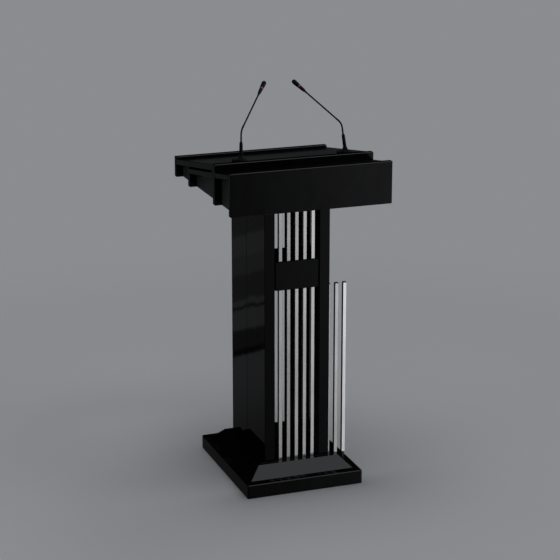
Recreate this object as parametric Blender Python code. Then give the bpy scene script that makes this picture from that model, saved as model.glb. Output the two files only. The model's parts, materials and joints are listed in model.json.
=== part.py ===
"""Lectern stand: slab and plinth, open column with metal bars, sloping desk, two gooseneck mics.

Units are metres, +Z is up. The audience is on the -Y side, the speaker on the +Y side, and the origin
is on the floor under the middle of the base slab.
"""
import math

import bmesh
import bpy
from mathutils import Matrix, Vector

# ---------------------------------------------------------------- driving dimensions
GAP = 0.0003                    # air left between touching pieces

BASE_HALF_W = 0.2103            # base slab
BASE_HALF_D = 0.255
BASE_H = 0.049
SLAB_CORNER = 0.005             # radius of its upright corners
SLAB_CORNER_STEPS = 6

FOOT_HALF_W = 0.1862            # foot of the plinth's slopes
FOOT_HALF_D = 0.2225
TOP_HALF_W = 0.146              # top of the plinth's slopes
TOP_HALF_D = 0.185
PLINTH_TOP = 0.0892
SKIRT_T = 0.014                 # horizontal thickness of a sloped skirt board

WALL_OUT = 0.1172               # column walls: outer and inner face, front, seam and rear
WALL_IN = 0.0805
WALL_FRONT = -0.168
WALL_SEAM = 0.0152
WALL_REAR = 0.178

BAR = 0.012                     # bars: width, depth and centre-to-centre pitch
BAR_DEPTH = 0.014
BAR_PITCH = 0.0292
BAR_FRONT = -0.1632
GRILLE_BARS = 5
SIDE_BARS = (6, 7, 8)           # places of the outer bars, counted on from the grille's first bar
SIDE_BAR_TOP = 0.7055
DOWEL = 0.006                   # width of the dowel under the outermost bar, down to the slope
DOWEL_GAP = 0.00045             # vertical gap between its oblique end and the slope

BAND_HALF_W = 0.0775            # shelf box between the walls
BAND_FRONT = -0.166
BAND_REAR = 0.0005
BAND_Z0 = 0.7025
BAND_Z1 = 0.8029
BOARD = 0.018                   # thickness of the shelf box's boards

DESK_Z0 = 1.0115                # underside of the desk
DESK_HALF_W = 0.2822            # ends of the cross boards
SIDE_OUT = 0.258                # recessed side panels
SIDE_IN = 0.243
DESK_FLOOR_T = 0.012
FRONT_Y = (-0.307, -0.2877)     # front panel
FRONT_Z = (1.0095, 1.1535)
RIDGE_Y = (-0.1446, -0.1227)    # ridge board behind the pen tray
RIDGE_Z1 = 1.1495
MIDDLE_Y = (0.1289, 0.1498)     # middle board under the inner board's rear edge
REAR_Y = (0.2864, 0.3064)       # rear board with the book stop
REAR_Z1 = 1.0837
SLOPE = 0.17186                 # fall of the reading surface towards the speaker, per metre
READING_C = 1.125               # height of the reading surface at y = 0
READING_T = 0.0203
SHADOW_GAP = 0.0064             # slot between the reading board and the inner board
INNER_T = 0.018
UNDER_INNER = READING_T + SHADOW_GAP + INNER_T      # reading surface down to the inner board's underside
STRIP_W = 0.0125                # strips that carry the reading board over the slot

MIC_Y = -0.075                  # microphone feet on the reading board
MIC_X = {"left": -0.1665, "right": 0.2083}
MIC_FOOT_R = 0.026
MIC_FOOT_SHIFT = -0.005         # foot's centre along X, from the stem's
MIC_FOOT_H = 0.009
STEM_LEAN = {"left": (0.05, 0.11), "right": (-0.108, 0.11)}     # stem's lean per unit of height
ARM_DIR = {"left": (0.571, 0.534, 0.6245), "right": (-0.595, 0.534, 0.600)}    # upper tube's direction
COLLAR_TOP = 0.0195             # distances along the stem from the foot's centre on the board
STEM_TOP = 0.0645
HINGE_S = 0.101
NECK_REACH = 0.015              # distance along the upper tube from the bend's centre
ARM_END = {"left": 0.1618, "right": 0.1665}
BODY_LENGTH = 0.0225             # lengths along the head, from the end of the upper tube
RING_LENGTH = 0.0068
HEAD_LENGTH = 0.0580
SPIGOT_R = 0.0042
SPIGOT_CLEARANCE = 0.0001
NECK_R = 0.0030
ARM_R = 0.0029

EDGE = 0.0012                   # usual eased edge of a lacquered board
SLAB_EDGE = 0.0018              # base slab
STOUT_EDGE = 0.0016             # column walls and the desk's upright cross boards
BAR_EDGE = 0.0006               # metal bars
HIDDEN_EDGE = 0.0005            # boards inside the plinth and the desk
ROUND_SEGMENTS = 32


# ---------------------------------------------------------------- helpers
def clear_scene():
    for obj in list(bpy.data.objects):
        bpy.data.objects.remove(obj, do_unlink=True)


def material(name, colour, roughness, metallic=0.0):
    mat = bpy.data.materials.new(name)
    mat.use_nodes = True
    shader = mat.node_tree.nodes["Principled BSDF"]
    shader.inputs["Base Color"].default_value = (*colour, 1.0)
    shader.inputs["Roughness"].default_value = roughness
    shader.inputs["Metallic"].default_value = metallic
    return mat


def lacquer(name):
    return material(name, (0.012, 0.012, 0.013), 0.12)


def polished_metal(name):
    return material(name, (0.78, 0.78, 0.80), 0.12, 1.0)


def black_plastic(name):
    return material(name, (0.02, 0.02, 0.021), 0.4)


def red_plastic(name):
    return material(name, (0.45, 0.01, 0.01), 0.35)


def finish(bm, name, mat, centre, smooth=False):
    """Turn a mesh given in world coordinates into an object with its origin at `centre`."""
    bmesh.ops.translate(bm, vec=-Vector(centre), verts=bm.verts)
    bmesh.ops.recalc_face_normals(bm, faces=bm.faces)
    mesh = bpy.data.meshes.new(name)
    bm.to_mesh(mesh)
    bm.free()
    mesh.materials.append(mat)
    if smooth:
        mesh.shade_smooth()
        mesh.set_sharp_from_angle(angle=math.radians(35))
    obj = bpy.data.objects.new(name, mesh)
    bpy.context.collection.objects.link(obj)
    obj.location = centre
    return obj


def attach(obj, parent, parent_point):
    """Parent an object to an empty that stands, unturned, at `parent_point` in the world."""
    obj.parent = parent
    obj.location = obj.location - parent_point


def chamfer(bm, width):
    bmesh.ops.bevel(bm, geom=list(bm.edges), offset=width, segments=1, affect='EDGES', clamp_overlap=True)


def block(name, x, y, z, mat, edge=EDGE):
    """A board or bar between two limits on each axis, with chamfered edges."""
    centre = Vector((sum(x) / 2, sum(y) / 2, sum(z) / 2))
    bm = bmesh.new()
    bmesh.ops.create_cube(bm, size=1.0)
    bmesh.ops.scale(bm, vec=(x[1] - x[0], y[1] - y[0], z[1] - z[0]), verts=bm.verts)
    if edge:
        chamfer(bm, edge)
    bmesh.ops.translate(bm, vec=centre, verts=bm.verts)
    return finish(bm, name, mat, centre)


def side_profile(name, x, outline, mat, edge=EDGE):
    """A board with the given outline in the YZ plane, running from x[0] to x[1]."""
    bm = bmesh.new()
    ring = [bm.verts.new((x[0], y, z)) for y, z in outline]
    face = bm.faces.new(ring)
    swept = bmesh.ops.extrude_face_region(bm, geom=[face])
    moved = [item for item in swept["geom"] if isinstance(item, bmesh.types.BMVert)]
    bmesh.ops.translate(bm, vec=(x[1] - x[0], 0.0, 0.0), verts=moved)
    bmesh.ops.recalc_face_normals(bm, faces=bm.faces)
    if edge:
        chamfer(bm, edge)
    mid_y = sum(p[0] for p in outline) / len(outline)
    mid_z = sum(p[1] for p in outline) / len(outline)
    return finish(bm, name, mat, (sum(x) / 2, mid_y, mid_z))


def reading_z(y, below=0.0):
    """Height of the plane that lies `below` the reading surface, at depth y."""
    return READING_C - SLOPE * y - below


def frame_along(direction, origin):
    """Matrix that puts local +Z along `direction` at `origin`."""
    turn = Vector((0.0, 0.0, 1.0)).rotation_difference(Vector(direction).normalized())
    return Matrix.Translation(origin) @ turn.to_matrix().to_4x4()


def turned(name, profile, frame, mat):
    """Solid of revolution from (distance along axis, radius) pairs; a radius of 0 closes to a point."""
    bm = bmesh.new()
    rings = []
    for along, radius in profile:
        if radius == 0.0:
            rings.append([bm.verts.new(frame @ Vector((0.0, 0.0, along)))])
            continue
        ring = []
        for step in range(ROUND_SEGMENTS):
            angle = 2 * math.pi * step / ROUND_SEGMENTS
            point = Vector((radius * math.cos(angle), radius * math.sin(angle), along))
            ring.append(bm.verts.new(frame @ point))
        rings.append(ring)
    for lower, upper in zip(rings, rings[1:]):
        for step in range(ROUND_SEGMENTS):
            after = (step + 1) % ROUND_SEGMENTS
            corners = [lower[step % len(lower)], lower[after % len(lower)],
                       upper[after % len(upper)], upper[step % len(upper)]]
            unique = list(dict.fromkeys(corners))
            bm.faces.new(unique)
    for end in (rings[0], rings[-1]):
        if len(end) > 1:
            bm.faces.new(end)
    return finish(bm, name, mat, frame.translation.copy(), smooth=True)


def tube_ring(name, profile, frame, mat, plane_point, plane_normal):
    """Ring turned from a closed (along, radius) loop; points with along = None lie on the given plane."""
    axis = (frame.to_3x3() @ Vector((0.0, 0.0, 1.0))).normalized()
    bm = bmesh.new()
    columns = []
    for step in range(ROUND_SEGMENTS):
        angle = 2 * math.pi * step / ROUND_SEGMENTS
        column = []
        for along, radius in profile:
            point = frame @ Vector((radius * math.cos(angle), radius * math.sin(angle), along or 0.0))
            if along is None:
                point += axis * ((plane_point - point).dot(plane_normal) / axis.dot(plane_normal))
            column.append(bm.verts.new(point))
        columns.append(column)
    count = len(profile)
    for step in range(ROUND_SEGMENTS):
        here, there = columns[step], columns[(step + 1) % ROUND_SEGMENTS]
        for k in range(count):
            nxt = (k + 1) % count
            bm.faces.new((here[k], there[k], there[nxt], here[nxt]))
    return finish(bm, name, mat, frame.translation.copy(), smooth=True)


def swept_rod(name, path, radius, mat):
    """Round rod along a list of points, its cross-sections square to the path."""
    bm = bmesh.new()
    rings = []
    side = Vector((1.0, 0.0, 0.0))
    for k, point in enumerate(path):
        ahead = path[min(k + 1, len(path) - 1)] - path[max(k - 1, 0)]
        ahead.normalize()
        side = (side - ahead * side.dot(ahead)).normalized()
        up = ahead.cross(side)
        ring = []
        for step in range(ROUND_SEGMENTS // 2):
            angle = 4 * math.pi * step / ROUND_SEGMENTS
            ring.append(bm.verts.new(point + radius * (math.cos(angle) * side + math.sin(angle) * up)))
        rings.append(ring)
    for lower, upper in zip(rings, rings[1:]):
        for step in range(len(lower)):
            after = (step + 1) % len(lower)
            bm.faces.new((lower[step], lower[after], upper[after], upper[step]))
    bm.faces.new(rings[0])
    bm.faces.new(rings[-1])
    return finish(bm, name, mat, path[0].copy(), smooth=True)


def joint_empty(name, location):
    empty = bpy.data.objects.new(name, None)
    empty.empty_display_size = 0.02
    empty.location = location
    bpy.context.collection.objects.link(empty)
    return empty


# ---------------------------------------------------------------- base
def build_skirt(name, quarter_turns, foot_out, foot_along, top_out, top_along):
    """One mitred sloping board; quarter_turns takes it from the audience side round to its own side."""
    mitre = GAP / math.sqrt(2)
    turn = Matrix.Rotation(quarter_turns * math.pi / 2, 3, 'Z')
    bm = bmesh.new()
    layers = []
    for height, out, along in ((BASE_H + GAP, foot_out, foot_along), (PLINTH_TOP, top_out, top_along)):
        outer = along - mitre
        inner = outer - SKIRT_T
        points = ((-outer, -out), (outer, -out), (inner, SKIRT_T - out), (-inner, SKIRT_T - out))
        layers.append([bm.verts.new(turn @ Vector((x, y, height))) for x, y in points])
    bottom, top = layers
    bm.faces.new(bottom)
    bm.faces.new(top)
    for k in range(4):
        after = (k + 1) % 4
        bm.faces.new((bottom[k], bottom[after], top[after], top[k]))
    centre = turn @ Vector((0.0, (SKIRT_T - foot_out - top_out) / 2, (BASE_H + PLINTH_TOP) / 2))
    return finish(bm, name, lacquer(name), centre)


def slab_layer(bm, height, inset):
    """Rounded rectangle of the slab's plan, drawn in from its full size by `inset`."""
    ring = []
    for quarter, (sign_x, sign_y) in enumerate(((1, 1), (-1, 1), (-1, -1), (1, -1))):
        for step in range(SLAB_CORNER_STEPS + 1):
            angle = math.pi / 2 * (quarter + step / SLAB_CORNER_STEPS)
            x = sign_x * (BASE_HALF_W - SLAB_CORNER) + (SLAB_CORNER - inset) * math.cos(angle)
            y = sign_y * (BASE_HALF_D - SLAB_CORNER) + (SLAB_CORNER - inset) * math.sin(angle)
            ring.append(bm.verts.new((x, y, height)))
    return ring


def build_slab():
    """Base slab with rounded upright corners and chamfered top and bottom edges."""
    bm = bmesh.new()
    heights = ((0.0, SLAB_EDGE), (SLAB_EDGE, 0.0), (BASE_H - SLAB_EDGE, 0.0), (BASE_H, SLAB_EDGE))
    layers = [slab_layer(bm, height, inset) for height, inset in heights]
    bm.faces.new(layers[0])
    bm.faces.new(layers[-1])
    for lower, upper in zip(layers, layers[1:]):
        for k in range(len(lower)):
            after = (k + 1) % len(lower)
            bm.faces.new((lower[k], lower[after], upper[after], upper[k]))
    return finish(bm, "base_slab", lacquer("base_slab"), (0.0, 0.0, BASE_H / 2))


def build_base():
    build_slab()
    for side, turns in (("front", 0), ("right", 1), ("rear", 2), ("left", 3)):
        across = turns % 2 == 0
        foot = (FOOT_HALF_D, FOOT_HALF_W) if across else (FOOT_HALF_W, FOOT_HALF_D)
        top = (TOP_HALF_D, TOP_HALF_W) if across else (TOP_HALF_W, TOP_HALF_D)
        build_skirt("plinth_skirt_" + side, turns, *foot, *top)
    half_w = TOP_HALF_W - SKIRT_T - GAP
    half_d = TOP_HALF_D - SKIRT_T - GAP
    z = (BASE_H + GAP, PLINTH_TOP)
    block("plinth_core", (-half_w, half_w), (-half_d, half_d), z, lacquer("plinth_core"), HIDDEN_EDGE)


# ---------------------------------------------------------------- column
def bar_centre(place):
    return (place - (GRILLE_BARS - 1) / 2) * BAR_PITCH


def build_wall_panels():
    z = (PLINTH_TOP + GAP, DESK_Z0 - GAP)
    half_gap = GAP / 2
    spans = {"front": (WALL_FRONT, WALL_SEAM - half_gap), "rear": (WALL_SEAM + half_gap, WALL_REAR)}
    for side, sign in (("left", -1), ("right", 1)):
        x = sorted((sign * WALL_IN, sign * WALL_OUT))
        for part, y in spans.items():
            name = "column_panel_%s_%s" % (side, part)
            panel = block(name, x, y, z, lacquer(name), STOUT_EDGE)
            if side == "right" and part == "front":
                cut_bar_rebate(panel)


def cut_bar_rebate(panel):
    """Rebate in the right-hand wall's outer face for the first outer bar."""
    inner = bar_centre(SIDE_BARS[0]) - BAR / 2 - GAP
    x = (inner, WALL_OUT + 0.01)
    y = (BAR_FRONT - GAP, BAR_FRONT + BAR_DEPTH + GAP)
    z = (PLINTH_TOP - 0.01, SIDE_BAR_TOP + GAP)
    cutter = block("rebate_cutter", x, y, z, material("rebate_cutter", (1.0, 0.0, 0.0), 0.5), 0.0)
    cutter.hide_render = True
    cutter.display_type = 'WIRE'
    cut = panel.modifiers.new("bar rebate", 'BOOLEAN')
    cut.operation = 'DIFFERENCE'
    cut.solver = 'EXACT'
    cut.object = cutter


def build_bar(name, place, z):
    x = bar_centre(place)
    across = (x - BAR / 2, x + BAR / 2)
    return block(name, across, (BAR_FRONT, BAR_FRONT + BAR_DEPTH), z, polished_metal(name), BAR_EDGE)


def add_dowel(bar, place):
    """Dowel under an outer bar that stands over the slope of the plinth, ending on the slope."""
    fall = (PLINTH_TOP - BASE_H) / (FOOT_HALF_W - TOP_HALF_W)
    bm = bmesh.new()
    bm.from_mesh(bar.data)
    bottom = min(bm.faces, key=lambda face: face.calc_center_median().z)
    width = min(edge.calc_length() for edge in bottom.edges)
    bmesh.ops.inset_individual(bm, faces=[bottom], thickness=(width - DOWEL) / 2)
    tip = bmesh.ops.extrude_discrete_faces(bm, faces=[bottom])["faces"][0]
    for vert in tip.verts:
        x = bar_centre(place) + vert.co.x
        vert.co.z = PLINTH_TOP - (x - TOP_HALF_W) * fall + DOWEL_GAP - bar.location.z
    bm.to_mesh(bar.data)
    bm.free()


def build_bars():
    for k in range(GRILLE_BARS):
        build_bar("upper_bar_%d" % (k + 1), k, (BAND_Z1 + GAP, DESK_Z0 - GAP))
        build_bar("lower_bar_%d" % (k + 1), k, (PLINTH_TOP + GAP, BAND_Z0 - GAP))
    for k, place in enumerate(SIDE_BARS):
        bar = build_bar("outer_bar_%d" % (k + 1), place, (PLINTH_TOP + GAP, SIDE_BAR_TOP))
        if bar_centre(place) - BAR / 2 > TOP_HALF_W:
            add_dowel(bar, place)


def build_shelf_box():
    x = (-BAND_HALF_W, BAND_HALF_W)
    wide = (-WALL_IN + GAP, WALL_IN - GAP)
    y_front = (BAND_FRONT, BAND_FRONT + BOARD)
    y_boards = (BAND_FRONT + BOARD + GAP, BAND_REAR)
    block("shelf_front_board", x, y_front, (BAND_Z0, BAND_Z1), lacquer("shelf_front_board"))
    block("shelf_top_board", wide, y_boards, (BAND_Z1 - BOARD, BAND_Z1), lacquer("shelf_top_board"))
    block("shelf_bottom_board", wide, y_boards, (BAND_Z0, BAND_Z0 + BOARD), lacquer("shelf_bottom_board"))


# ---------------------------------------------------------------- desk
def lean_outline(y, z_low, z_high):
    """Outline in the YZ plane between two heights, each given as a function of y."""
    return [(y[0], z_low(y[0])), (y[1], z_low(y[1])), (y[1], z_high(y[1])), (y[0], z_high(y[0]))]


def desk_floor_height(y):
    return DESK_Z0


def below_reading(drop):
    """Height function of the plane that lies `drop` under the reading surface."""
    return lambda y: reading_z(y, drop)


def build_cross_boards():
    full = (-DESK_HALF_W, DESK_HALF_W)
    block("desk_front_panel", full, FRONT_Y, FRONT_Z, lacquer("desk_front_panel"), STOUT_EDGE)
    block("desk_ridge_board", full, RIDGE_Y, (DESK_Z0, RIDGE_Z1), lacquer("desk_ridge_board"), STOUT_EDGE)
    block("desk_rear_board", full, REAR_Y, (DESK_Z0, REAR_Z1), lacquer("desk_rear_board"), STOUT_EDGE)
    outline = lean_outline(MIDDLE_Y, desk_floor_height, below_reading(UNDER_INNER + GAP))
    side_profile("desk_middle_board", full, outline, lacquer("desk_middle_board"))


def sloping_board(name, y, top_below, thickness, edge=EDGE):
    outline = lean_outline(y, below_reading(top_below + thickness), below_reading(top_below))
    side_profile(name, (-DESK_HALF_W, DESK_HALF_W), outline, lacquer(name), edge)


def build_sloping_boards():
    inner_top = READING_T + SHADOW_GAP
    rear_end = MIDDLE_Y[1]
    front_end = RIDGE_Y[1] + GAP
    sloping_board("reading_board", (front_end, REAR_Y[0] - GAP), 0.0, READING_T)
    sloping_board("inner_board", (front_end, rear_end), inner_top, INNER_T)
    sloping_board("pen_tray_board", (FRONT_Y[1] + GAP, RIDGE_Y[0] - GAP), inner_top, INNER_T)
    strips = {"front": (front_end, front_end + STRIP_W), "rear": (rear_end - STRIP_W, rear_end)}
    for end, y in strips.items():
        sloping_board("spacer_strip_" + end, y, READING_T + GAP, SHADOW_GAP - 2 * GAP, HIDDEN_EDGE)


def build_desk_bays():
    """Side panels and floor boards of the three bays between the cross boards."""
    bays = {"front": (FRONT_Y[1], RIDGE_Y[0], UNDER_INNER + GAP),
            "middle": (RIDGE_Y[1], MIDDLE_Y[0], UNDER_INNER + GAP),
            "rear": (MIDDLE_Y[1], REAR_Y[0], READING_T + GAP)}
    for bay, (y0, y1, drop) in bays.items():
        y = (y0 + GAP, y1 - GAP)
        outline = lean_outline(y, desk_floor_height, below_reading(drop))
        for side, sign in (("left", -1), ("right", 1)):
            x = sorted((sign * SIDE_IN, sign * SIDE_OUT))
            name = "desk_side_%s_%s" % (side, bay)
            side_profile(name, x, outline, lacquer(name))
        name = "desk_floor_" + bay
        x = (GAP - SIDE_IN, SIDE_IN - GAP)
        block(name, x, y, (DESK_Z0, DESK_Z0 + DESK_FLOOR_T), lacquer(name), HIDDEN_EDGE)


# ---------------------------------------------------------------- microphones
def bend_path(start, corner, end_direction, reach, steps=14):
    """Points of the arc that starts at `start`, heads for `corner` and leaves along `end_direction`."""
    into = (corner - start).normalized()
    leave = Vector(end_direction).normalized()
    lead = (corner - start).length
    tangent = min(lead, reach)
    turn_angle = into.angle(leave)
    radius = tangent / math.tan(turn_angle / 2)
    begin = corner - into * tangent
    inward = (leave - into * leave.dot(into)).normalized()
    centre = begin + inward * radius
    path = [start.copy()] if lead > tangent + 1e-6 else []
    for step in range(steps + 1):
        angle = turn_angle * step / steps
        path.append(centre - inward * radius * math.cos(angle) + into * radius * math.sin(angle))
    return path


def build_microphone(side):
    seat = Vector((MIC_X[side], MIC_Y, reading_z(MIC_Y) + GAP))
    normal = Vector((0.0, SLOPE, 1.0)).normalized()
    stem_dir = Vector((*STEM_LEAN[side], 1.0)).normalized()
    arm_dir = Vector(ARM_DIR[side]).normalized()
    prefix = "mic_%s_" % side

    foot = [(0.0, MIC_FOOT_R - 0.0006), (0.0006, MIC_FOOT_R), (MIC_FOOT_H - 0.003, MIC_FOOT_R),
            (MIC_FOOT_H - 0.0009, MIC_FOOT_R - 0.0012), (MIC_FOOT_H, MIC_FOOT_R - 0.004)]
    under_foot = seat + Vector((MIC_FOOT_SHIFT, 0.0, 0.0))
    turned(prefix + "foot", foot, frame_along(normal, under_foot), black_plastic(prefix + "foot"))

    along_stem = frame_along(stem_dir, seat)
    deck = seat + normal * (MIC_FOOT_H + GAP)
    bore = SPIGOT_R + SPIGOT_CLEARANCE
    collar = [(None, 0.0098), (COLLAR_TOP - 0.002, 0.0078), (COLLAR_TOP, 0.0068),
              (COLLAR_TOP, bore), (None, bore)]
    tube_ring(prefix + "collar", collar, along_stem, black_plastic(prefix + "collar"), deck, normal)

    swivel = joint_empty(prefix + "swivel", seat)
    stem_profile = [(MIC_FOOT_H + 0.0025, SPIGOT_R), (COLLAR_TOP + GAP, SPIGOT_R),
                    (COLLAR_TOP + GAP, 0.0060), (COLLAR_TOP + 0.003, 0.0063),
                    (STEM_TOP - 0.007, 0.0058), (STEM_TOP - 0.002, 0.0047), (STEM_TOP, 0.0040)]
    stem = turned(prefix + "stem", stem_profile, along_stem, black_plastic(prefix + "stem"))
    attach(stem, swivel, seat)

    bend = seat + stem_dir * HINGE_S
    path = bend_path(seat + stem_dir * (STEM_TOP + GAP), bend, arm_dir, NECK_REACH)
    neck = swept_rod(prefix + "neck", path, NECK_R, black_plastic(prefix + "neck"))
    attach(neck, swivel, seat)

    hinge = joint_empty(prefix + "bend", bend)
    attach(hinge, swivel, seat)
    along_arm = frame_along(arm_dir, bend)
    arm_end = ARM_END[side]
    body_end = arm_end + BODY_LENGTH
    ring_end = body_end + RING_LENGTH
    tip = arm_end + HEAD_LENGTH
    profiles = {
        "arm": [(NECK_REACH + GAP, ARM_R), (arm_end, ARM_R)],
        "body": [(arm_end + GAP, 0.0036), (arm_end + 0.003, 0.0047), (arm_end + 0.010, 0.0057),
                 (body_end, 0.0062)],
        "light_ring": [(body_end + GAP, 0.0062), (body_end + 0.001, 0.0066), (ring_end - 0.001, 0.0069),
                       (ring_end, 0.0067)],
        "grille": [(ring_end + GAP, 0.0069), (ring_end + 0.004, 0.0076), (tip - 0.012, 0.0079),
                   (tip - 0.006, 0.0077), (tip - 0.0025, 0.0062), (tip - 0.0006, 0.0034), (tip, 0.0)]}
    for piece, profile in profiles.items():
        name = prefix + piece
        mat = red_plastic(name) if piece == "light_ring" else black_plastic(name)
        attach(turned(name, profile, along_arm, mat), hinge, bend)


def main():
    clear_scene()
    build_base()
    build_wall_panels()
    build_bars()
    build_shelf_box()
    build_cross_boards()
    build_sloping_boards()
    build_desk_bays()
    for side in MIC_X:
        build_microphone(side)


main()
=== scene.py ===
import json
import math

import bmesh
import bpy
from mathutils import Matrix, Vector


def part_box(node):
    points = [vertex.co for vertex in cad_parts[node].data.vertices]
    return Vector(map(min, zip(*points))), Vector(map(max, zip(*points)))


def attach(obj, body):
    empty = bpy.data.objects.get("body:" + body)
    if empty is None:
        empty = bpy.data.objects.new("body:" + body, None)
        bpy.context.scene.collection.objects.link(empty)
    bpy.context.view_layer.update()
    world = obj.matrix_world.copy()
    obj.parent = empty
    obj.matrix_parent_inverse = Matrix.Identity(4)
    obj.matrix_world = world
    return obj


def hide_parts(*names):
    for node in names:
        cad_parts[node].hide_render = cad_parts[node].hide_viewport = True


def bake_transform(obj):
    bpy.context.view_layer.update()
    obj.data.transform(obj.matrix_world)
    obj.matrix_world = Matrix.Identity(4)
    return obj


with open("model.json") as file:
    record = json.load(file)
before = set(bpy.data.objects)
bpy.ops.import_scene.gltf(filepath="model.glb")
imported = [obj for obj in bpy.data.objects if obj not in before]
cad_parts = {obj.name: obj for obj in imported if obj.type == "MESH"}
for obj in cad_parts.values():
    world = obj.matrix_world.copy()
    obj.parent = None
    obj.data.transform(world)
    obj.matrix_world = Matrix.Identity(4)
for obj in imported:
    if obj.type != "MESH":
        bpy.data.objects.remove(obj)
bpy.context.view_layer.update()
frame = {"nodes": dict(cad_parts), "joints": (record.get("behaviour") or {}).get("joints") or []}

NODES = frame["nodes"]
JOINTS = {joint["name"]: joint for joint in frame["joints"]}
SIDES = ("left", "right")

# Camera: the photograph's viewing angle, in metres and degrees; lens and sensor in millimetres
CAMERA_AT = (-2.1510, -5.8927, 2.5606)
CAMERA_PITCH = 16.627
CAMERA_YAW = 20.046
CAMERA_LENS = 121.64
CAMERA_SENSOR = 36.0

# Lengths along a microphone's stem, from its swivel's place, and along its upper tube, from the bend
STEM_TOP = 0.0648
NECK_REACH = 0.015              # the neck's arc begins and ends this far from the bend's corner
ARM_START = 0.0153
ARM_END = {"left": 0.1618, "right": 0.1665}
FOOT_SHIFT = -0.005             # the foot's centre along X, from the stem's
DESK_SLOPE = 0.17186            # lean of the reading board's normal along Y, for each unit of its Z

# Lengths along a microphone's head, from the end of the upper tube
BODY_START = 0.0003
BODY_END = 0.0225
RING_START = 0.0228
RING_END = 0.0293
GRILLE_START = 0.0296
TIP = 0.0580

# How far each bar's material tilts its shading towards +X, in degrees. The bars themselves are straight: the
# tilts were set by trial, to make each bar about as bright as in the photograph
BAR_TILTS = {"upper_bar_1": 0.7, "upper_bar_2": 0.7, "upper_bar_3": 1.1, "upper_bar_4": 1.4,
             "upper_bar_5": 2.0, "lower_bar_1": 1.1, "lower_bar_2": 0.7, "lower_bar_3": 1.5,
             "lower_bar_4": 1.6, "lower_bar_5": 2.1, "outer_bar_1": 1.0, "outer_bar_2": 1.6,
             "outer_bar_3": 4.0}
OUTER_BARS = ("outer_bar_1", "outer_bar_2", "outer_bar_3")
PLINTH_TOP = 0.0893             # the dowel under the last outer bar is painted black below this
PLUG_INSET = 0.0003             # an end plug's sides, from the bar's
PLUG_FOOT = 0.0001              # its underside and its top, above the bar's top
PLUG_TOP = 0.0022

MIRROR_BLUR = 0.3               # roughness and waves of the column's panels, against the other boards'
COLUMN_MATT_SHADED_WITHIN = 0.0808     # the column's panels are matt, and painted darker as painted shade, nearer than this to the middle plane

# Dark strips low in the surroundings, behind on the left, mirrored by the column's left side:
# (lowest, highest height of the direction, part of the light kept out)
DARK_STRIPS = ((-0.323, -0.3105, 0.7), (-0.323, -0.320, 0.75), (-0.300, -0.2985, 0.85),
               (-0.2955, -0.2825, 0.5), (-0.2825, -0.2735, 0.2), (-0.2625, -0.230, 0.4))
STRIP_SOFTNESS = 0.0008
STRIP_SLANT = 0.22              # how far the strips fall for each unit of sine towards the right
STRIP_PIVOT = -0.326            # the sine where they have the heights above

# Brightness of the softboxes and walls in the surroundings
RIGHT_WALL = 1.30
FRONT_OVERHEAD = 1.75
REAR_OVERHEAD = 0.60
LEFT_BOX = 0.80
FRONT_LEFT_BOX = 1.0
REAR_BOX = 0.50
SKY_TINT = (0.955, 0.98, 1.03, 1.0)

# The one lamp: a softbox above the stand, aimed at the floor
SOFTBOX_AT = (0.0, -0.2, 4.5)
SOFTBOX_SIZE = 5.0
SOFTBOX_POWER = 107.0

# The floor's radii where it is flat, then the cove it rises in and the top of its wall
FLOOR_RADII = (0.0, 0.4, 0.8, 1.2, 2.0, 4.0, 8.0, 12.0, 16.0)
COVE_RADIUS = 6.0
WALL_TOP = 14.0
# The floor's colour is darker near the stand than in the open: painted shade round the stand
FLOOR_SHADED_NEAR = (0.331, 0.337, 0.348, 1.0)
FLOOR_OPEN = (0.368, 0.375, 0.387, 1.0)
FLOOR_FAR = (0.255, 0.263, 0.277, 1.0)
# Spots of painted light and painted shade on the floor, where the photograph shows it lighter or darker: (x,
# y, radius, colour)
FLOOR_PAINTED_LIGHT_AND_SHADE = ((-0.40, 0.42, 0.45, (0.428, 0.436, 0.449, 1.0)),
               (-0.62, -0.40, 0.55, (0.335, 0.341, 0.352, 1.0)))
SLAB_HALF = (0.2103, 0.255)     # the base slab's half width and half depth
FRONT_PAINTED_SHADOW = 0.28          # painted shadow: the part of the light that the floor's colour loses right in front of the base slab
FRONT_FADE = 0.11               # distance over which that fades


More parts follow.
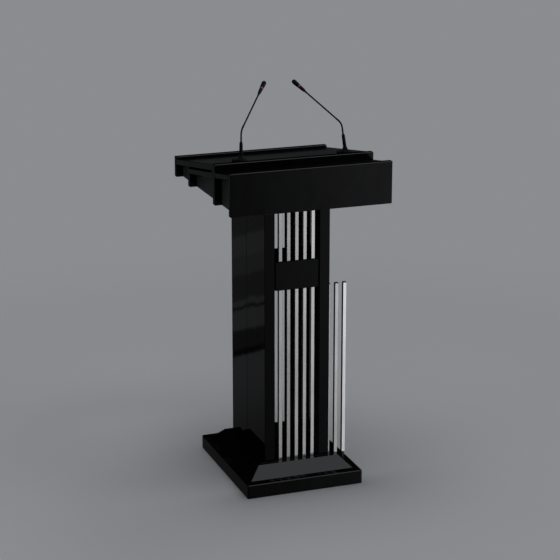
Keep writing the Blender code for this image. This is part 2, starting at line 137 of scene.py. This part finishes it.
# ---------------------------------------------------------------- node helpers
class Graph:
    """Short-hand for building a node tree."""

    def __init__(self, tree):
        self.tree = tree
        tree.nodes.clear()

    def add(self, kind, inputs=None, **settings):
        node = self.tree.nodes.new(kind)
        for key, value in settings.items():
            setattr(node, key, value)
        for key, value in (inputs or {}).items():
            if isinstance(value, bpy.types.NodeSocket):
                self.tree.links.new(value, node.inputs[key])
            else:
                node.inputs[key].default_value = value
        return node

    def math(self, operation, a, b=0.0, c=0.0, clamp=False):
        node = self.add("ShaderNodeMath", {0: a, 1: b, 2: c}, operation=operation)
        node.use_clamp = clamp
        return node.outputs[0]

    def ramp(self, value, low, high, out_low=0.0, out_high=1.0, kind='SMOOTHSTEP'):
        node = self.add("ShaderNodeMapRange", {"Value": value, "From Min": low, "From Max": high,
                                               "To Min": out_low, "To Max": out_high},
                        interpolation_type=kind, clamp=True)
        return node.outputs["Result"]

    def noise(self, place, scale, detail=2.0, roughness=0.5):
        node = self.add("ShaderNodeTexNoise", {"Vector": place, "Scale": scale, "Detail": detail,
                                               "Roughness": roughness})
        return node.outputs["Fac"]

    def place(self, offset=(0.0, 0.0, 0.0), scale=(1.0, 1.0, 1.0)):
        coords = self.add("ShaderNodeTexCoord")
        return self.add("ShaderNodeMapping", {"Vector": coords.outputs["Object"], "Location": offset,
                                              "Scale": scale}).outputs["Vector"]

    def mix_colour(self, factor, a, b):
        node = self.add("ShaderNodeMix", data_type='RGBA')
        for socket, value in ((node.inputs["Factor"], factor), (node.inputs[6], a), (node.inputs[7], b)):
            if isinstance(value, bpy.types.NodeSocket):
                self.tree.links.new(value, socket)
            else:
                socket.default_value = value
        return node.outputs[2]

    def bump(self, height, distance, strength=1.0, normal=None):
        node = self.add("ShaderNodeBump", {"Height": height, "Distance": distance, "Strength": strength})
        if normal:
            self.tree.links.new(normal, node.inputs["Normal"])
        return node.outputs["Normal"]

    def surface(self, shader):
        output = self.add("ShaderNodeOutputMaterial")
        self.tree.links.new(shader, output.inputs["Surface"])


def new_material(name):
    mat = bpy.data.materials.new(name)
    mat.use_nodes = True
    return mat, Graph(mat.node_tree)


# ---------------------------------------------------------------- materials
def black_lacquer(name, offset, blur=1.0, matt_shaded_within=0.0):
    """Polished black lacquer: orange peel, slight waves, wiping marks in the gloss and a little dust.

    Nearer than the given distance to the middle plane, x = 0, it is left matt and painted darker: painted
    shade inside the column.
    """
    mat, g = new_material(name)
    place = g.place(offset)
    waves = g.noise(place, 7.0, 2.0)
    peel = g.noise(place, 320.0, 1.0)
    smears = g.noise(g.place(offset, (1.0, 1.0, 0.35)), 14.0, 5.0, 0.6)
    streaks = g.noise(g.place(offset, (60.0, 60.0, 3.0)), 4.0, 3.0, 0.7)
    dust = g.ramp(g.noise(place, 620.0, 2.0, 0.6), 0.70, 0.78)
    dusty_area = g.ramp(g.noise(place, 9.0, 3.0), 0.45, 0.70)
    specks = g.math('MULTIPLY', dust, dusty_area)
    gloss = g.ramp(smears, 0.35, 0.75, 0.055 * blur, 0.125 * blur, 'LINEAR')
    gloss = g.math('ADD', gloss, g.ramp(streaks, 0.5, 0.8, 0.0, 0.03 * blur, 'LINEAR'))
    gloss = g.math('ADD', gloss, g.math('MULTIPLY', specks, 0.25), clamp=True)
    colour = g.mix_colour(g.ramp(smears, 0.3, 0.8), (0.0007, 0.0007, 0.0008, 1), (0.0014, 0.0014, 0.0016, 1))
    colour = g.mix_colour(specks, colour, (0.010, 0.010, 0.0095, 1))
    # Painted shade inside the column: nearer the middle the colour is darkened as well as made matt
    if matt_shaded_within:
        x = g.add("ShaderNodeSeparateXYZ", {0: g.place()}).outputs["X"]
        shaded_inside = g.math('LESS_THAN', g.math('ABSOLUTE', x), matt_shaded_within)
        gloss = g.math('MAXIMUM', gloss, shaded_inside)
        colour = g.mix_colour(shaded_inside, colour, (0.0002, 0.0002, 0.0002, 1))
    normal = g.bump(peel, 0.0000035, 1.0, g.bump(waves, 0.0006 * blur))
    shader = g.add("ShaderNodeBsdfPrincipled", {"Base Color": colour, "Roughness": gloss, "Normal": normal,
                                                "Specular IOR Level": 0.25})
    g.surface(shader.outputs[0])
    return mat


def satin_lacquer(name, offset):
    """Black lacquer left unpolished: a soft, slightly cloudy sheen with fine brush lines."""
    mat, g = new_material(name)
    place = g.place(offset)
    lines = g.noise(g.place(offset, (30.0, 30.0, 260.0)), 3.0, 3.0, 0.6)
    clouds = g.noise(place, 16.0, 4.0, 0.6)
    colour = g.mix_colour(g.ramp(clouds, 0.3, 0.75), (0.0350, 0.0365, 0.0355, 1), (0.0430, 0.0450, 0.0440, 1))
    gloss = g.math('ADD', g.ramp(clouds, 0.3, 0.75, 0.34, 0.44, 'LINEAR'),
                   g.ramp(lines, 0.3, 0.7, -0.04, 0.04, 'LINEAR'), clamp=True)
    g.surface(g.add("ShaderNodeBsdfPrincipled", {"Base Color": colour, "Roughness": gloss,
                                                 "Specular IOR Level": 0.25,
                                                 "Normal": g.bump(lines, 0.000012)}).outputs[0])
    return mat


def bright_bar(name, offset, tilt, painted_below=None):
    """Drawn bright metal: fine lengthwise lines and uneven polish.

    `tilt` leans the shading towards +X by that many degrees, and the shape stays as it is. Below the height
    `painted_below` the metal is painted black.
    """
    mat, g = new_material(name)
    lines = g.noise(g.place(offset, (900.0, 900.0, 6.0)), 3.0, 3.0, 0.6)
    patches = g.noise(g.place(offset, (4.0, 4.0, 1.0)), 9.0, 4.0, 0.6)
    colour = g.mix_colour(g.ramp(patches, 0.3, 0.7), (0.84, 0.82, 0.79, 1), (0.95, 0.93, 0.90, 1))
    rough = g.math('ADD', g.ramp(lines, 0.3, 0.7, 0.14, 0.22, 'LINEAR'),
                   g.ramp(patches, 0.4, 0.8, 0.0, 0.06, 'LINEAR'))
    across = g.add("ShaderNodeSeparateXYZ", {0: g.place()}).outputs["X"]
    turned = g.bump(g.math('MULTIPLY', across, -math.tan(math.radians(tilt))), 1.0)
    normal = g.bump(lines, 0.000006, 1.0, turned)
    inputs = {"Base Color": colour, "Metallic": 1.0, "Roughness": rough, "Normal": normal}
    if painted_below is not None:
        height = g.add("ShaderNodeSeparateXYZ", {0: g.place()}).outputs["Z"]
        metal = g.math('GREATER_THAN', height, painted_below)
        inputs["Base Color"] = g.mix_colour(metal, (0.002, 0.002, 0.002, 1), colour)
        inputs["Metallic"] = metal
    g.surface(g.add("ShaderNodeBsdfPrincipled", inputs).outputs[0])
    return mat


def black_moulding(name, colour, rough, grain, depth, metallic=0.0):
    """Satin black plastic or powder-coated metal with a fine grain."""
    mat, g = new_material(name)
    place = g.place()
    fine = g.noise(place, grain, 2.0, 0.6)
    broad = g.noise(place, grain * 0.06, 3.0)
    darker = (*[0.7 * c for c in colour], 1)
    lighter = (*[1.3 * c for c in colour], 1)
    tint = g.mix_colour(g.ramp(broad, 0.3, 0.7), darker, lighter)
    gloss = g.math('ADD', g.ramp(fine, 0.3, 0.7, rough - 0.06, rough + 0.06, 'LINEAR'),
                   g.ramp(broad, 0.3, 0.7, -0.04, 0.04, 'LINEAR'))
    g.surface(g.add("ShaderNodeBsdfPrincipled", {"Base Color": tint, "Roughness": gloss, "Metallic": metallic,
                                                 "Specular IOR Level": 0.12,
                                                 "Normal": g.bump(fine, depth)}).outputs[0])
    return mat


def red_light_ring(name):
    """Cloudy red plastic with a faint glow, as over a dim lamp."""
    mat, g = new_material(name)
    place = g.place()
    cloud = g.noise(place, 260.0, 3.0)
    colour = g.mix_colour(g.ramp(cloud, 0.3, 0.7), (0.030, 0.002, 0.003, 1), (0.085, 0.008, 0.010, 1))
    glow = g.mix_colour(g.ramp(cloud, 0.35, 0.65), (0.45, 0.06, 0.07, 1), (0.75, 0.22, 0.24, 1))
    g.surface(g.add("ShaderNodeBsdfPrincipled", {
        "Base Color": colour, "Roughness": g.ramp(cloud, 0.3, 0.7, 0.12, 0.24, 'LINEAR'),
        "Normal": g.bump(cloud, 0.00004), "Emission Color": glow, "Emission Strength": 0.05}).outputs[0])
    return mat


# ---------------------------------------------------------------- mesh helpers
def finish_piece(name, bm, mat, body, replaces=(), smooth_angle=35.0):
    bmesh.ops.recalc_face_normals(bm, faces=bm.faces)
    mesh = bpy.data.meshes.new(name)
    bm.to_mesh(mesh)
    bm.free()
    mesh.materials.append(mat)
    mesh.shade_smooth()
    mesh.set_sharp_from_angle(angle=math.radians(smooth_angle))
    obj = bpy.data.objects.new(name, mesh)
    bpy.context.scene.collection.objects.link(obj)
    if body:
        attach(obj, body)
    if replaces:
        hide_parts(*replaces)
    return obj


def frame_along(direction, origin):
    turn = Vector((0.0, 0.0, 1.0)).rotation_difference(Vector(direction).normalized())
    return Matrix.Translation(origin) @ turn.to_matrix().to_4x4()


def join_rings(bm, rings, segments):
    """Fills the space between rings of vertices. A ring of one vertex is a point."""
    for low, high in zip(rings, rings[1:]):
        for k in range(segments):
            after = (k + 1) % segments
            corners = (low[k % len(low)], low[after % len(low)], high[after % len(high)], high[k % len(high)])
            bm.faces.new(list(dict.fromkeys(corners)))


def lathe(profile, place, segments=48, flutes=None):
    """Closed solid turned from (along, radius) points.

    flutes = (count, depth, start, end) cuts grooves along it.
    """
    bm = bmesh.new()
    rings = []
    for along, radius in profile:
        if radius <= 0.0:
            rings.append([bm.verts.new(place @ Vector((0.0, 0.0, along)))])
            continue
        ring = []
        for k in range(segments):
            angle = 2 * math.pi * k / segments
            r = radius
            if flutes and flutes[2] <= along <= flutes[3]:
                r -= flutes[1] * (0.5 - 0.5 * math.cos(flutes[0] * angle))
            ring.append(bm.verts.new(place @ Vector((r * math.cos(angle), r * math.sin(angle), along))))
        rings.append(ring)
    join_rings(bm, rings, segments)
    for end in (rings[0], rings[-1]):
        if len(end) > 1:
            bm.faces.new(end)
    return bm


def rounded(profile, radius, steps=4):
    """Rounds every corner of an (along, radius) profile, except its two ends, with small curves."""
    points = [Vector(p) for p in profile]
    result = [points[0]]
    for before, corner, after in zip(points, points[1:], points[2:]):
        reach = min(radius, 0.45 * (corner - before).length, 0.45 * (after - corner).length)
        start = corner + (before - corner).normalized() * reach
        end = corner + (after - corner).normalized() * reach
        for k in range(steps + 1):
            t = k / steps
            result.append(start.lerp(corner, t).lerp(corner.lerp(end, t), t))
    result.append(points[-1])
    return [(p[0], p[1]) for p in result]


def rounded_block(low, high, radius, segments=3):
    size = Vector(high) - Vector(low)
    bm = bmesh.new()
    bmesh.ops.create_cube(bm, size=1.0)
    bmesh.ops.scale(bm, vec=size, verts=bm.verts)
    bmesh.ops.translate(bm, vec=(Vector(low) + Vector(high)) / 2, verts=bm.verts)
    bmesh.ops.bevel(bm, geom=list(bm.edges), offset=radius, segments=segments, profile=0.5, affect='EDGES')
    return bm


# ---------------------------------------------------------------- boards and bars
def shade_flat_faces(obj):
    """Keeps the flat faces and chamfers flat while the slab's rounded corners are shaded smooth."""
    obj.data.shade_smooth()
    obj.data.set_sharp_from_angle(angle=math.radians(30))
    weights = obj.modifiers.new("flat faces", 'WEIGHTED_NORMAL')
    weights.mode = 'FACE_AREA'
    weights.weight = 100
    weights.keep_sharp = True


def shade_bar(obj):
    """Rounds a bar's chamfers off into a small radius."""
    obj.data.shade_smooth()
    bevel = obj.modifiers.new("eased edges", 'BEVEL')
    bevel.width = 0.0004
    bevel.segments = 3
    bevel.limit_method = 'ANGLE'
    bevel.angle_limit = math.radians(25)
    weights = obj.modifiers.new("flat faces", 'WEIGHTED_NORMAL')
    weights.mode = 'FACE_AREA'
    weights.weight = 100
    weights.keep_sharp = False


def finish_boards():
    offsets = ((0.0, 0.0, 0.0), (3.1, 1.7, 0.4), (7.3, 2.9, 5.1), (1.9, 8.3, 2.2), (4.7, 6.1, 9.4))
    lacquers = [black_lacquer("black_lacquer_%d" % (k + 1), offset) for k, offset in enumerate(offsets)]
    mirrors = [black_lacquer("mirror_lacquer_%d" % (k + 1), offset, MIRROR_BLUR, COLUMN_MATT_SHADED_WITHIN)
               for k, offset in enumerate(offsets[:3])]
    satins = [satin_lacquer("satin_lacquer_%d" % (k + 1), offset) for k, offset in enumerate(offsets[:2])]
    boards = sorted(n for n in NODES if n.startswith(("base", "plinth", "column", "shelf", "desk", "reading",
                                                      "inner", "pen", "spacer")))
    for k, name in enumerate(boards):
        finishes = lacquers
        if name.startswith("desk_side"):
            finishes = satins
        elif name.startswith("column"):
            finishes = mirrors
        obj = NODES[name]
        obj.data.materials.clear()
        obj.data.materials.append(finishes[k % len(finishes)])
        shade_flat_faces(obj)


def finish_bars():
    for k, (name, tilt) in enumerate(BAR_TILTS.items()):
        obj = NODES[name]
        obj.data.materials.clear()
        painted = PLINTH_TOP if name == "outer_bar_3" else None
        offset = (0.37 * k, 0.21 * k, 1.3 * k)
        obj.data.materials.append(bright_bar("metal_of_" + name, offset, tilt, painted))
        shade_bar(obj)
    plug = black_moulding("end_plug", (0.006, 0.006, 0.006), 0.42, 900.0, 0.00002)
    for name in OUTER_BARS:
        low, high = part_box(name)
        plug_low = (low.x + PLUG_INSET, low.y + PLUG_INSET, high.z + PLUG_FOOT)
        plug_high = (high.x - PLUG_INSET, high.y - PLUG_INSET, high.z + PLUG_TOP)
        bm = rounded_block(plug_low, plug_high, 0.0007)
        finish_piece(name + "_end_plug", bm, plug, "stand")


# ---------------------------------------------------------------- microphones
def centroid(name):
    vertices = NODES[name].data.vertices
    return sum((v.co for v in vertices), Vector()) / len(vertices)


def neck_path(start, bend, leave):
    """The neck's middle line: straight from start to where the bend begins, then an arc.

    Gives a function from the distance along it to a point, and its whole length.
    """
    into = (bend - start).normalized()
    turn = into.angle(leave)
    radius = NECK_REACH / math.tan(turn / 2)
    begin = bend - into * NECK_REACH
    inward = (leave - into * leave.dot(into)).normalized()
    centre = begin + inward * radius
    straight = (begin - start).length
    total = straight + radius * turn

    def at(distance):
        if distance <= straight:
            return start + into * distance
        angle = (distance - straight) / radius
        return centre - inward * radius * math.cos(angle) + into * radius * math.sin(angle)
    return at, total


def ribbed_neck(at, total, pitch=0.0015, radius=0.0030, depth=0.00045, segments=16):
    """Wound gooseneck: a tube whose surface rises and falls in one long spiral."""
    bm = bmesh.new()
    count = int(total / pitch * 6)
    side = Vector((1.0, 0.0, 0.0))
    rings = []
    for k in range(count + 1):
        s = total * k / count
        ahead = (at(min(s + 1e-4, total)) - at(max(s - 1e-4, 0.0))).normalized()
        side = (side - ahead * side.dot(ahead)).normalized()
        up = ahead.cross(side)
        ring = []
        for j in range(segments):
            angle = 2 * math.pi * j / segments
            phase = (s / pitch - j / segments) % 1.0
            r = radius - depth * (2 * abs(phase - 0.5)) ** 2.5
            ring.append(bm.verts.new(at(s) + r * (math.cos(angle) * side + math.sin(angle) * up)))
        rings.append(ring)
    join_rings(bm, rings, segments)
    bm.faces.new(rings[0])
    bm.faces.new(rings[-1])
    return bm


def grille(place, head, segments=30):
    """Metal grille with a domed end, `head` along the tube: its cells are inset and sunk."""
    foot, widest = 0.0071, 0.0079
    tip = head + TIP
    start = head + GRILLE_START + 0.0016
    end = tip - 0.0076
    profile = [(head + GRILLE_START, foot - 0.0004), (head + GRILLE_START + 0.0007, foot)]
    rows = 8
    for k in range(rows + 1):
        t = k / rows
        profile.append((start + (end - start) * t, foot + (widest - foot) * math.sin(math.pi / 2 * t)))
    dome = 7
    for k in range(1, dome):
        angle = math.pi / 2 * k / dome
        profile.append((end + (tip - end) * math.sin(angle), widest * math.cos(angle)))
    profile.append((tip, 0.0))
    bm = lathe(profile, place, segments)
    bm.faces.ensure_lookup_table()
    axis = (place.to_3x3() @ Vector((0, 0, 1))).normalized()
    origin = place.translation
    cells = []
    for face in bm.faces:
        along = (face.calc_center_median() - origin).dot(axis)
        if start < along < tip - 0.0007 and len(face.verts) == 4:
            cells.append(face)
    bmesh.ops.inset_individual(bm, faces=cells, thickness=0.00022, depth=-0.0004)
    return bm


def build_microphone(side, metal, rubber, plastic, ring_mat):
    swivel, bend = JOINTS["mic_%s_swivel" % side], JOINTS["mic_%s_bend" % side]
    prefix = "mic_%s_" % side
    stem_body, head_body = swivel["child"], bend["child"]
    seat = Vector(swivel["pos_m"])
    stem_dir = Vector(swivel["axis"]).normalized()
    corner = Vector(bend["pos_m"])
    arm_dir = (centroid(prefix + "arm") - corner).normalized()
    slope = Vector((0.0, DESK_SLOPE, 1.0)).normalized()

    on_desk = frame_along(slope, seat + Vector((FOOT_SHIFT, 0.0, 0.0)))
    foot = rounded([(0.0008, 0.0), (0.0008, 0.0259), (0.0062, 0.0259), (0.0088, 0.0233), (0.0089, 0.0212),
                    (0.0084, 0.0208), (0.0084, 0.0200), (0.0090, 0.0196), (0.0090, 0.0)], 0.0009)
    finish_piece(prefix + "foot_cover", lathe(foot, on_desk, 96), metal, "stand",
                 [prefix + "foot"])
    gasket = rounded([(0.0, 0.0), (0.0, 0.0250), (0.0007, 0.0253), (0.0007, 0.0)], 0.0002)
    finish_piece(prefix + "foot_gasket", lathe(gasket, on_desk, 96), rubber, "stand")

    along_stem = frame_along(stem_dir, seat)
    build_collar(prefix, along_stem, seat, slope, metal)

    stem = [(0.0118, 0.0), (0.0118, 0.0041), (0.0199, 0.0041), (0.0199, 0.0059), (0.0228, 0.0062),
            (0.0240, 0.0062), (0.0242, 0.0057), (0.0250, 0.0057), (0.0252, 0.0061)]
    grooves = 7
    groove_pitch = 0.0044
    for k in range(grooves):
        a = 0.0300 + groove_pitch * k
        r = 0.0061 - 0.0004 * (a - 0.0252) / 0.033
        stem += [(a, r), (a + 0.0003, r - 0.0004), (a + 0.0009, r - 0.00042), (a + 0.0012, r - 0.00003)]
    stem += [(0.0582, 0.0056), (0.0626, 0.0046), (STEM_TOP - 0.0003, 0.0039), (STEM_TOP - 0.0003, 0.0)]
    finish_piece(prefix + "stem_sleeve", lathe(rounded(stem, 0.0003, 2), along_stem, 40), rubber, stem_body,
                 [prefix + "stem"])

    at, total = neck_path(seat + stem_dir * STEM_TOP, corner, arm_dir)
    neck = finish_piece(prefix + "gooseneck", ribbed_neck(at, total), metal, None,
                        [prefix + "neck"], 60.0)
    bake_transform(neck)

    along_arm = frame_along(arm_dir, corner)
    end = ARM_END[side]
    arm = [(ARM_START, 0.0), (ARM_START, 0.0032), (ARM_START + 0.0065, 0.0032), (ARM_START + 0.0072, 0.0027),
           (end - 0.0072, 0.0027), (end - 0.0065, 0.0032), (end, 0.0032), (end, 0.0)]
    shell = [(BODY_START, 0.0), (BODY_START, 0.0036), (0.0030, 0.0047), (0.0100, 0.0057), (0.0150, 0.0059),
             (0.0153, 0.0056), (0.0160, 0.0056), (0.0163, 0.0059), (BODY_END, 0.0062), (BODY_END, 0.0)]
    lamp = [(RING_START, 0.0), (RING_START, 0.0063), (RING_START + 0.0011, 0.0067),
            (RING_END - 0.0011, 0.0069), (RING_END, 0.0067), (RING_END, 0.0)]
    lamp_flutes = (24, 0.00018, end + RING_START + 0.0009, end + RING_END - 0.0009)
    head = {"upper_tube": (arm, metal, "mic_metal", "arm"),
            "head_shell": ([(end + t, r) for t, r in shell], plastic, "mic_plastic", "body"),
            "lamp_ring": ([(end + t, r) for t, r in lamp], ring_mat, "mic_light", "light_ring")}
    for piece, (profile, mat, slot, node) in head.items():
        flutes = lamp_flutes if piece == "lamp_ring" else None
        bm = lathe(rounded(profile, 0.0005, 3), along_arm, 96 if flutes else 40, flutes)
        finish_piece(prefix + piece, bm, mat, head_body, [prefix + node])
    finish_piece(prefix + "head_grille", grille(along_arm, end), metal, head_body,
                 [prefix + "grille"], 25.0)


def build_collar(prefix, along_stem, seat, slope, mat):
    """Knurled nut round the stem's foot, its underside cut to the slope of the foot's top."""
    axis = (along_stem.to_3x3() @ Vector((0, 0, 1))).normalized()
    deck = seat + slope * 0.0093
    segments = 96
    knurls = 24
    knurled = (2, 3)            # places in the outline
    outline = [(None, 0.0098), (0.0122, 0.0094), (0.0128, 0.0092), (0.0168, 0.0084), (0.0175, 0.0080),
               (0.0190, 0.0076), (0.0195, 0.0070), (0.0195, 0.0043), (None, 0.0043)]
    bm = bmesh.new()
    columns = []
    for k in range(segments):
        angle = 2 * math.pi * k / segments
        column = []
        for n, (along, radius) in enumerate(outline):
            r = radius
            if n in knurled:
                r -= 0.00035 * (0.5 - 0.5 * math.cos(knurls * angle))
            point = along_stem @ Vector((r * math.cos(angle), r * math.sin(angle), along or 0.0))
            if along is None:
                point += axis * ((deck - point).dot(slope) / axis.dot(slope))
            column.append(bm.verts.new(point))
        columns.append(column)
    for k in range(segments):
        here, there = columns[k], columns[(k + 1) % segments]
        for n in range(len(outline)):
            after = (n + 1) % len(outline)
            bm.faces.new((here[n], there[n], there[after], here[after]))
    finish_piece(prefix + "collar_nut", bm, mat, "stand", [prefix + "collar"], 40.0)


# ---------------------------------------------------------------- studio
def build_floor():
    """One smooth pale floor that rises into a round wall far from the stand."""
    profile = [(radius, 0.0) for radius in FLOOR_RADII]
    edge = FLOOR_RADII[-1]
    profile += [(edge + COVE_RADIUS * math.sin(a), COVE_RADIUS - COVE_RADIUS * math.cos(a))
                for a in (0.3, 0.6, 0.9, 1.2, math.pi / 2)]
    profile += [(edge + COVE_RADIUS, WALL_TOP)]
    segments = 96
    bm = bmesh.new()
    rings = []
    for radius, height in profile:
        if radius == 0.0:
            rings.append([bm.verts.new((0.0, 0.0, height))])
            continue
        rings.append([bm.verts.new((radius * math.cos(2 * math.pi * k / segments),
                                    radius * math.sin(2 * math.pi * k / segments), height))
                      for k in range(segments)])
    join_rings(bm, rings, segments)
    mesh = bpy.data.meshes.new("studio_floor")
    bm.to_mesh(mesh)
    bm.free()
    mesh.shade_smooth()
    floor = bpy.data.objects.new("studio_floor", mesh)
    bpy.context.scene.collection.objects.link(floor)
    floor.visible_glossy = False
    floor.visible_diffuse = False
    floor.visible_shadow = False
    mat, g = new_material("studio_floor")
    coords = g.add("ShaderNodeSeparateXYZ", {0: g.add("ShaderNodeTexCoord").outputs["Object"]})
    squares = [g.math('MULTIPLY', coords.outputs[k], coords.outputs[k]) for k in (0, 1)]
    distance = g.math('SQRT', g.math('ADD', *squares))
    # Painted shade: the floor's colour darkens towards the stand
    albedo = g.mix_colour(g.ramp(distance, 0.25, 0.85), FLOOR_SHADED_NEAR, FLOOR_OPEN)
    # Painted light and painted shade: spots where the floor's colour is made lighter or darker
    for x, y, radius, colour in FLOOR_PAINTED_LIGHT_AND_SHADE:
        away = [g.math('SUBTRACT', coords.outputs[k], centre) for k, centre in enumerate((x, y))]
        away = g.math('SQRT', g.math('ADD', *[g.math('MULTIPLY', value, value) for value in away]))
        albedo = g.mix_colour(g.ramp(away, 0.0, radius, 1.0, 0.0), albedo, colour)
    # Painted shadow: the floor's colour is darkened in front of the base slab, fading with distance
    beside = g.math('SUBTRACT', g.math('ABSOLUTE', coords.outputs[0]), SLAB_HALF[0])
    ahead = g.math('SUBTRACT', g.math('MULTIPLY', coords.outputs[1], -1.0), SLAB_HALF[1])
    beyond = [g.math('MAXIMUM', gap, 0.0) for gap in (beside, ahead)]
    gap = g.math('SQRT', g.math('ADD', *[g.math('MULTIPLY', value, value) for value in beyond]))
    fade = g.math('EXPONENT', g.math('DIVIDE', gap, -FRONT_FADE))
    dark = g.math('MULTIPLY', g.math('MULTIPLY', fade, FRONT_PAINTED_SHADOW), g.ramp(ahead, -0.1, 0.0))
    albedo = g.mix_colour(dark, albedo, (0.0, 0.0, 0.0, 1.0))
    near = g.add("ShaderNodeBsdfDiffuse", {"Color": albedo})
    far = g.add("ShaderNodeEmission", {"Color": FLOOR_FAR, "Strength": 1.0})
    mix = g.add("ShaderNodeMixShader", {0: g.ramp(distance, 0.9, 3.0), 1: near.outputs[0], 2: far.outputs[0]})
    g.surface(mix.outputs[0])
    mesh.materials.append(mat)


def build_light():
    data = bpy.data.lights.new("overhead_softbox", 'AREA')
    data.shape = 'RECTANGLE'
    data.size = SOFTBOX_SIZE
    data.size_y = SOFTBOX_SIZE
    data.energy = SOFTBOX_POWER
    light = bpy.data.objects.new("overhead_softbox", data)
    light.location = SOFTBOX_AT
    light.rotation_euler = (Vector() - Vector(SOFTBOX_AT)).to_track_quat('-Z', 'Y').to_euler()
    light.visible_glossy = False
    light.visible_camera = False
    bpy.context.scene.collection.objects.link(light)


def build_world():
    """Soft studio surroundings as a function of direction: dim floor below, dark above, and softboxes."""
    world = bpy.data.worlds.new("studio")
    world.use_nodes = True
    bpy.context.scene.world = world
    g = Graph(world.node_tree)
    direction = g.add("ShaderNodeSeparateXYZ", {0: g.add("ShaderNodeTexCoord").outputs["Generated"]})
    x, y, z = direction.outputs[0], direction.outputs[1], direction.outputs[2]
    flat = g.math('SQRT', g.math('ADD', g.math('MULTIPLY', x, x), g.math('MULTIPLY', y, y)))
    sine = g.math('DIVIDE', x, g.math('MAXIMUM', flat, 0.001))
    cosine = g.math('DIVIDE', y, g.math('MAXIMUM', flat, 0.001))
    above = g.math('MAXIMUM', z, 0.02)
    u, v = g.math('DIVIDE', x, above), g.math('DIVIDE', y, above)

    def window(value, low, high, soft):
        rise = g.ramp(value, low - soft, low + soft)
        fall = g.ramp(value, high - soft, high + soft, 1.0, 0.0)
        return g.math('MULTIPLY', rise, fall)

    def product(*factors):
        total = factors[0]
        for factor in factors[1:]:
            total = g.math('MULTIPLY', total, factor)
        return total

    upper = g.ramp(z, 0.0, 0.05)
    ground = g.ramp(z, -0.25, 0.02, 0.052, 0.0020)
    slanted = g.math('ADD', z, g.math('MULTIPLY', g.math('ADD', sine, -STRIP_PIVOT), STRIP_SLANT))
    behind_left = g.ramp(slanted, -0.370, -0.330, 0.036, 0.075)
    for low, high, kept_out in DARK_STRIPS:
        strip = product(window(slanted, low, high, STRIP_SOFTNESS), kept_out)
        behind_left = product(behind_left, g.math('SUBTRACT', 1.0, strip))
    back_left = g.math('MULTIPLY', window(sine, -0.62, -0.12, 0.08), g.ramp(cosine, 0.2, 0.5))
    back_left = g.math('MULTIPLY', back_left, g.ramp(z, -0.23, -0.25))
    parts = [
        # The dim floor, and what takes its place behind on the left
        g.math('MULTIPLY', ground, g.math('SUBTRACT', 1.0, back_left)),
        product(behind_left, back_left),
        # A broad pale wall on the right, towards the front
        product(g.ramp(sine, 0.26, 0.62), g.ramp(cosine, 0.30, -0.10), g.ramp(z, -0.42, -0.22, 0.35, 1.0),
                g.ramp(z, 0.38, 0.62, 1.0, 0.0), RIGHT_WALL),
        # Two softboxes overhead towards the front, one overhead towards the rear
        product(window(u, -0.20, 0.85, 0.10), window(v, -0.80, -0.41, 0.02), upper, FRONT_OVERHEAD),
        product(window(u, -0.20, 0.85, 0.10), window(v, -0.30, -0.12, 0.02), upper, FRONT_OVERHEAD),
        product(window(u, -0.75, 0.75, 0.15), window(v, 1.0, 1.9, 0.2), upper, REAR_OVERHEAD),
        # Softboxes on the left, and in front to the left
        product(g.ramp(sine, -0.80, -0.97), window(cosine, -0.42, 0.22, 0.12),
                window(z, 0.06, 0.62, 0.06), LEFT_BOX),
        product(window(sine, -0.50, -0.15, 0.1), g.ramp(cosine, -0.80, -0.90),
                window(z, 0.25, 0.72, 0.1), FRONT_LEFT_BOX),
        # Softboxes behind, to the right and to the left
        product(window(sine, 0.58, 0.80, 0.06), g.ramp(cosine, 0.45, 0.62),
                window(z, -0.35, 0.65, 0.15), REAR_BOX),
        product(window(sine, -0.85, -0.65, 0.05), g.ramp(cosine, 0.35, 0.50),
                window(z, 0.0, 0.65, 0.15), REAR_BOX)]
    total = parts[0]
    for part in parts[1:]:
        total = g.math('ADD', total, part)
    back = g.add("ShaderNodeBackground", {"Color": SKY_TINT, "Strength": total})
    output = g.add("ShaderNodeOutputWorld")
    g.tree.links.new(back.outputs[0], output.inputs["Surface"])


def build_camera():
    data = bpy.data.cameras.new("camera")
    data.sensor_width = CAMERA_SENSOR
    data.lens = CAMERA_LENS
    data.clip_end = 100.0
    camera = bpy.data.objects.new("camera", data)
    camera.location = CAMERA_AT
    camera.rotation_euler = (math.radians(90.0 - CAMERA_PITCH), 0.0, math.radians(-CAMERA_YAW))
    bpy.context.scene.collection.objects.link(camera)
    bpy.context.scene.camera = camera
    bpy.context.scene.view_settings.view_transform = 'Standard'


def main():
    finish_boards()
    finish_bars()
    metal = black_moulding("mic_satin_black", (0.0016, 0.0016, 0.0018), 0.50, 1400.0, 0.00001)
    rubber = black_moulding("mic_rubber", (0.0024, 0.0024, 0.0024), 0.60, 900.0, 0.00003)
    plastic = black_moulding("mic_plastic", (0.0022, 0.0022, 0.0022), 0.36, 1100.0, 0.00002)
    ring_mat = red_light_ring("mic_red_ring")
    for side in SIDES:
        build_microphone(side, metal, rubber, plastic, ring_mat)
    build_floor()
    build_light()
    build_world()
    build_camera()


main()
